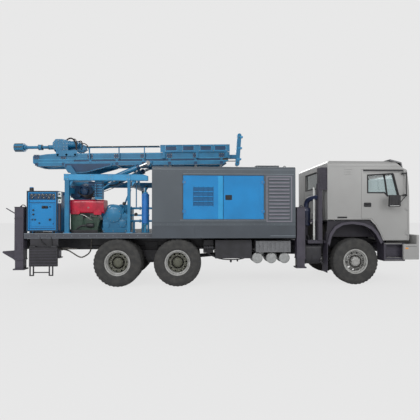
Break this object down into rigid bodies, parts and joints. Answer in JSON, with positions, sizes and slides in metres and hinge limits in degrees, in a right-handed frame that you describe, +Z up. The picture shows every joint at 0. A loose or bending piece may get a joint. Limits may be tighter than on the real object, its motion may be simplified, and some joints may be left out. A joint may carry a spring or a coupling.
{
  "type": "water well drilling rig",
  "caption": "Truck mounted water well drilling rig with a laid down mast, compressor canopy, four jacks and a tilting cab.",
  "frame": {"origin": "on the ground under the middle of the whole machine", "axes": "+X towards the cab, +Y to the machine's left, +Z up"},
  "size_m": [10.197, 2.8, 3.8928],
  "materials": {
    "rig_blue": "gloss",
    "door_blue": "gloss",
    "body_grey": "satin",
    "cab_grey": "gloss",
    "frame_black": "satin",
    "engine_red": "gloss",
    "bare_steel": "satin",
    "cylinder_chrome": "polished",
    "tyre_rubber": "matte",
    "window_glass": "clear",
    "dark_plastic": "matte",
    "seat_cloth": "woven"
  },
  "bodies": {
    "root": {"chassis_frame": "frame_black", "axle_housings": "frame_black", "leaf_springs": "frame_black", "driveline": "frame_black", "truck_engine": "frame_black", "deck": "body_grey", "platform_carrier": "frame_black", "canopy_shell": "body_grey", "canopy_grilles": "body_grey", "compressor_set": "frame_black", "gantry": "rig_blue", "mud_pump": "rig_blue", "service_engine": "engine_red", "line_oiler": "door_blue", "hydraulic_tank": "rig_blue", "control_cabinet": "door_blue", "jack_sleeves": "body_grey", "bumper": "cab_grey", "cab_steps": "dark_plastic", "fuel_tank": "bare_steel", "air_tanks": "frame_black", "battery_box": "frame_black", "tool_boxes": "frame_black", "intake_stack": "dark_plastic", "mudguards": "dark_plastic"},
    "cab": {"cab_shell": "cab_grey", "cab_glass": "window_glass", "cab_interior": "seat_cloth"},
    "door_right": {"cab_door_right": "cab_grey", "door_glass_right": "window_glass", "mirror_right": "dark_plastic"},
    "hatch_right_rear": {"canopy_door_right_rear": "door_blue"},
    "hatch_right_front": {"canopy_door_right_front": "door_blue"},
    "steered_right": {"knuckle_right": "frame_black"},
    "roller_front_right": {"wheel_front_right": "tyre_rubber"},
    "roller_middle_right": {"wheel_middle_right": "tyre_rubber"},
    "roller_rear_right": {"wheel_rear_right": "tyre_rubber"},
    "jack_rear_right": {"jack_leg_rear_right": "body_grey"},
    "jack_front_right": {"jack_leg_front_right": "body_grey"},
    "door_left": {"cab_door_left": "cab_grey", "door_glass_left": "window_glass", "mirror_left": "dark_plastic"},
    "hatch_left_rear": {"canopy_door_left_rear": "door_blue"},
    "hatch_left_front": {"canopy_door_left_front": "door_blue"},
    "steered_left": {"knuckle_left": "frame_black"},
    "roller_front_left": {"wheel_front_left": "tyre_rubber"},
    "roller_middle_left": {"wheel_middle_left": "tyre_rubber"},
    "roller_rear_left": {"wheel_rear_left": "tyre_rubber"},
    "jack_rear_left": {"jack_leg_rear_left": "body_grey"},
    "jack_front_left": {"jack_leg_front_left": "body_grey"},
    "mast": {"mast_frame": "rig_blue"},
    "drill_head": {"rotary_head": "rig_blue"},
    "drill_string": {"spindle": "rig_blue"},
    "barrel_right": {"cylinder_barrel_right": "rig_blue"},
    "rod_right": {"cylinder_rod_right": "cylinder_chrome"},
    "barrel_left": {"cylinder_barrel_left": "rig_blue"},
    "rod_left": {"cylinder_rod_left": "cylinder_chrome"},
    "platform": {"operator_platform": "frame_black"}
  },
  "joints": [
    {"name": "cab_tilt", "type": "hinge", "parent": "root", "child": "cab", "pos_m": [4.9415, 0, 1.11], "axis": [0, 1, 0], "range_deg": [0, 50]},
    {"name": "door_right_swing", "type": "hinge", "parent": "cab", "child": "door_right", "pos_m": [4.8035, -1.192, 1.6], "axis": [0, 0, 1], "range_deg": [0, 70]},
    {"name": "canopy_door_right_rear_swing", "type": "hinge", "parent": "root", "child": "hatch_right_rear", "pos_m": [-0.6285, -1.262, 2.1], "axis": [0, 0, -1], "range_deg": [0, 120]},
    {"name": "canopy_door_right_front_swing", "type": "hinge", "parent": "root", "child": "hatch_right_front", "pos_m": [1.2855, -1.262, 2.1], "axis": [0, 0, 1], "range_deg": [0, 120]},
    {"name": "steer_right", "type": "hinge", "parent": "root", "child": "steered_right", "pos_m": [3.5415, -0.85, 0.56], "axis": [0, 0, 1], "range_deg": [-35, 35]},
    {"name": "spin_front_right", "type": "hinge", "parent": "steered_right", "child": "roller_front_right", "pos_m": [3.5415, -1.011, 0.56], "axis": [0, 1, 0], "continuous": true},
    {"name": "spin_middle_right", "type": "hinge", "parent": "root", "child": "roller_middle_right", "pos_m": [-0.7585, -0.915, 0.56], "axis": [0, 1, 0], "continuous": true},
    {"name": "spin_rear_right", "type": "hinge", "parent": "root", "child": "roller_rear_right", "pos_m": [-2.1585, -0.915, 0.56], "axis": [0, 1, 0], "continuous": true},
    {"name": "jack_rear_right_lower", "type": "slide", "parent": "root", "child": "jack_rear_right", "axis": [0, 0, -1], "range_m": [0, 0.6]},
    {"name": "jack_front_right_lower", "type": "slide", "parent": "root", "child": "jack_front_right", "axis": [0, 0, -1], "range_m": [0, 0.6]},
    {"name": "door_left_swing", "type": "hinge", "parent": "cab", "child": "door_left", "pos_m": [4.8035, 1.192, 1.6], "axis": [0, 0, -1], "range_deg": [0, 70]},
    {"name": "canopy_door_left_rear_swing", "type": "hinge", "parent": "root", "child": "hatch_left_rear", "pos_m": [-0.6285, 1.262, 2.1], "axis": [0, 0, 1], "range_deg": [0, 120]},
    {"name": "canopy_door_left_front_swing", "type": "hinge", "parent": "root", "child": "hatch_left_front", "pos_m": [1.2855, 1.262, 2.1], "axis": [0, 0, -1], "range_deg": [0, 120]},
    {"name": "steer_left", "type": "hinge", "parent": "root", "child": "steered_left", "pos_m": [3.5415, 0.85, 0.56], "axis": [0, 0, 1], "range_deg": [-35, 35]},
    {"name": "spin_front_left", "type": "hinge", "parent": "steered_left", "child": "roller_front_left", "pos_m": [3.5415, 1.011, 0.56], "axis": [0, 1, 0], "continuous": true},
    {"name": "spin_middle_left", "type": "hinge", "parent": "root", "child": "roller_middle_left", "pos_m": [-0.7585, 0.915, 0.56], "axis": [0, 1, 0], "continuous": true},
    {"name": "spin_rear_left", "type": "hinge", "parent": "root", "child": "roller_rear_left", "pos_m": [-2.1585, 0.915, 0.56], "axis": [0, 1, 0], "continuous": true},
    {"name": "jack_rear_left_lower", "type": "slide", "parent": "root", "child": "jack_rear_left", "axis": [0, 0, -1], "range_m": [0, 0.6]},
    {"name": "jack_front_left_lower", "type": "slide", "parent": "root", "child": "jack_front_left", "axis": [0, 0, -1], "range_m": [0, 0.6]},
    {"name": "mast_raise", "type": "hinge", "parent": "root", "child": "mast", "pos_m": [-3.5385, 0, 2.88], "axis": [0, -1, 0], "range_deg": [0, 89]},
    {"name": "head_feed", "type": "slide", "parent": "mast", "child": "drill_head", "axis": [0.9998, 0, 0.0175], "range_m": [0, 3.3]},
    {"name": "spindle_turn", "type": "hinge", "parent": "drill_head", "child": "drill_string", "pos_m": [-4.05614, 0, 3.48506], "axis": [0.9998, 0, 0.0175], "continuous": true},
    {"name": "barrel_right_swing", "type": "hinge", "parent": "root", "child": "barrel_right", "pos_m": [-3.1185, -0.45, 2.34], "axis": [0, -1, 0], "range_deg": [0, 78.33]},
    {"name": "rod_right_extend", "type": "slide", "parent": "barrel_right", "child": "rod_right", "axis": [0.9183, 0, 0.3959], "range_m": [0, 0.8763]},
    {"name": "barrel_left_swing", "type": "hinge", "parent": "root", "child": "barrel_left", "pos_m": [-3.1185, 0.45, 2.34], "axis": [0, -1, 0], "range_deg": [0, 78.33]},
    {"name": "rod_left_extend", "type": "slide", "parent": "barrel_left", "child": "rod_left", "axis": [0.9183, 0, 0.3959], "range_m": [0, 0.8763]},
    {"name": "platform_fold", "type": "hinge", "parent": "root", "child": "platform", "pos_m": [-3.8385, -1.235, 0.958], "axis": [-1, 0, 0], "range_deg": [0, 90]}
  ],
  "couplings": [
    {"joint": "steer_left", "follows": "steer_right", "ratio": 1},
    {"joint": "barrel_right_swing", "follows": "mast_raise", "ratio": 0.87985},
    {"joint": "rod_right_extend", "follows": "mast_raise", "m_per_rad": 0.56379},
    {"joint": "barrel_left_swing", "follows": "mast_raise", "ratio": 0.87985},
    {"joint": "rod_left_extend", "follows": "mast_raise", "m_per_rad": 0.56379}
  ]
}
